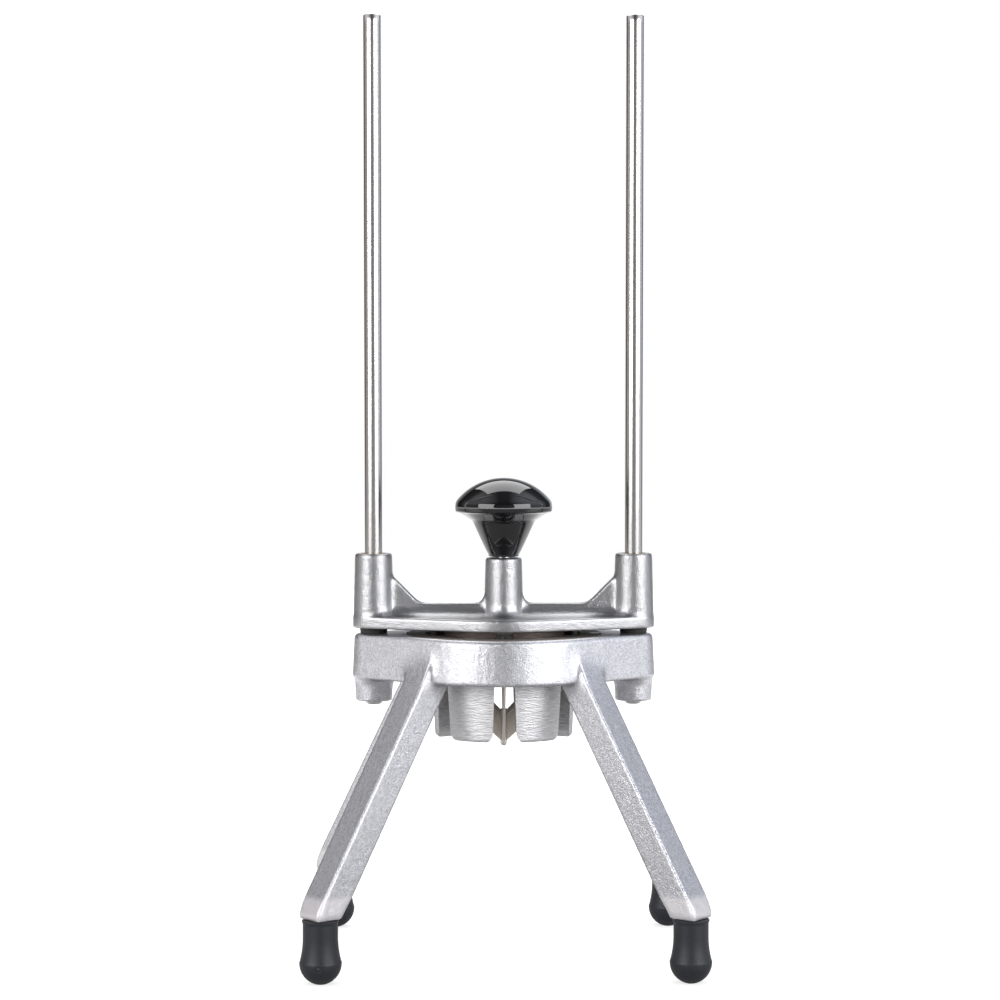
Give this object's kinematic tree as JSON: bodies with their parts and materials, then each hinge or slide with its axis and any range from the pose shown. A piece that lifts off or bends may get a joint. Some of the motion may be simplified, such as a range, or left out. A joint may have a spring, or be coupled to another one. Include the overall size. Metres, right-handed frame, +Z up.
{
  "type": "apple wedger press",
  "caption": "Countertop press on splayed legs: a knob pushes a guided head down its rods, and wedge fingers drive a fruit through the blades that cross in a cast ring.",
  "frame": {"origin": "on the table, under the middle of the blade ring", "axes": "+Z up along the guide rods, +X from the left rod to the right rod, -Y towards the person who pushes"},
  "size_m": [0.2156, 0.1778, 0.5097],
  "materials": {
    "cast_aluminium": "sand-cast and tumbled, fine matt grain with small bright specks",
    "tumbled_aluminium": "tumbled to a soft shine over a finely pitted cast skin",
    "turned_aluminium": "machined, with fine level lathe lines",
    "blade_ring_aluminium": "machined, satin",
    "polished_rod": "ground and polished stainless bar",
    "blade_steel": "rolled stainless strip, bright, with ground cutting bevels",
    "plated_screws": "bright zinc-plated or stainless screws",
    "bushing_bronze": "sintered bronze, matt",
    "insert_brass": "nickel-plated brass, bright",
    "foot_rubber": "moulded black rubber, satin",
    "bumper_rubber": "cut black rubber, matt",
    "knob_phenolic": "moulded black phenolic, high gloss"
  },
  "bodies": {
    "base": {"base_frame": "cast_aluminium", "guide_rod_left": "polished_rod", "guide_rod_right": "polished_rod", "bumper_left": "bumper_rubber", "bumper_right": "bumper_rubber", "rod_set_screws": "plated_screws", "rubber_foot_front_left": "foot_rubber", "rubber_foot_front_right": "foot_rubber", "rubber_foot_rear_left": "foot_rubber", "rubber_foot_rear_right": "foot_rubber", "foot_studs": "plated_screws", "blade_carrier_ring": "blade_ring_aluminium", "blade_clamp_ring": "blade_ring_aluminium", "blade_ring_screws": "plated_screws", "blade_1": "blade_steel", "blade_2": "blade_steel", "blade_3": "blade_steel", "blade_4": "blade_steel", "blade_5": "blade_steel", "blade_6": "blade_steel", "core_pin": "blade_steel"},
    "pusher": {"pusher_head": "tumbled_aluminium", "pusher_block": "turned_aluminium", "pusher_block_screws": "plated_screws", "guide_bushing_upper_left": "bushing_bronze", "guide_bushing_upper_right": "bushing_bronze", "guide_bushing_lower_left": "bushing_bronze", "guide_bushing_lower_right": "bushing_bronze", "knob": "knob_phenolic", "knob_insert": "insert_brass", "knob_stud": "plated_screws"}
  },
  "joints": [
    {"name": "pusher_slide", "type": "slide", "parent": "base", "child": "pusher", "axis": [0, 0, 1], "range_m": [0, 0.285]}
  ]
}
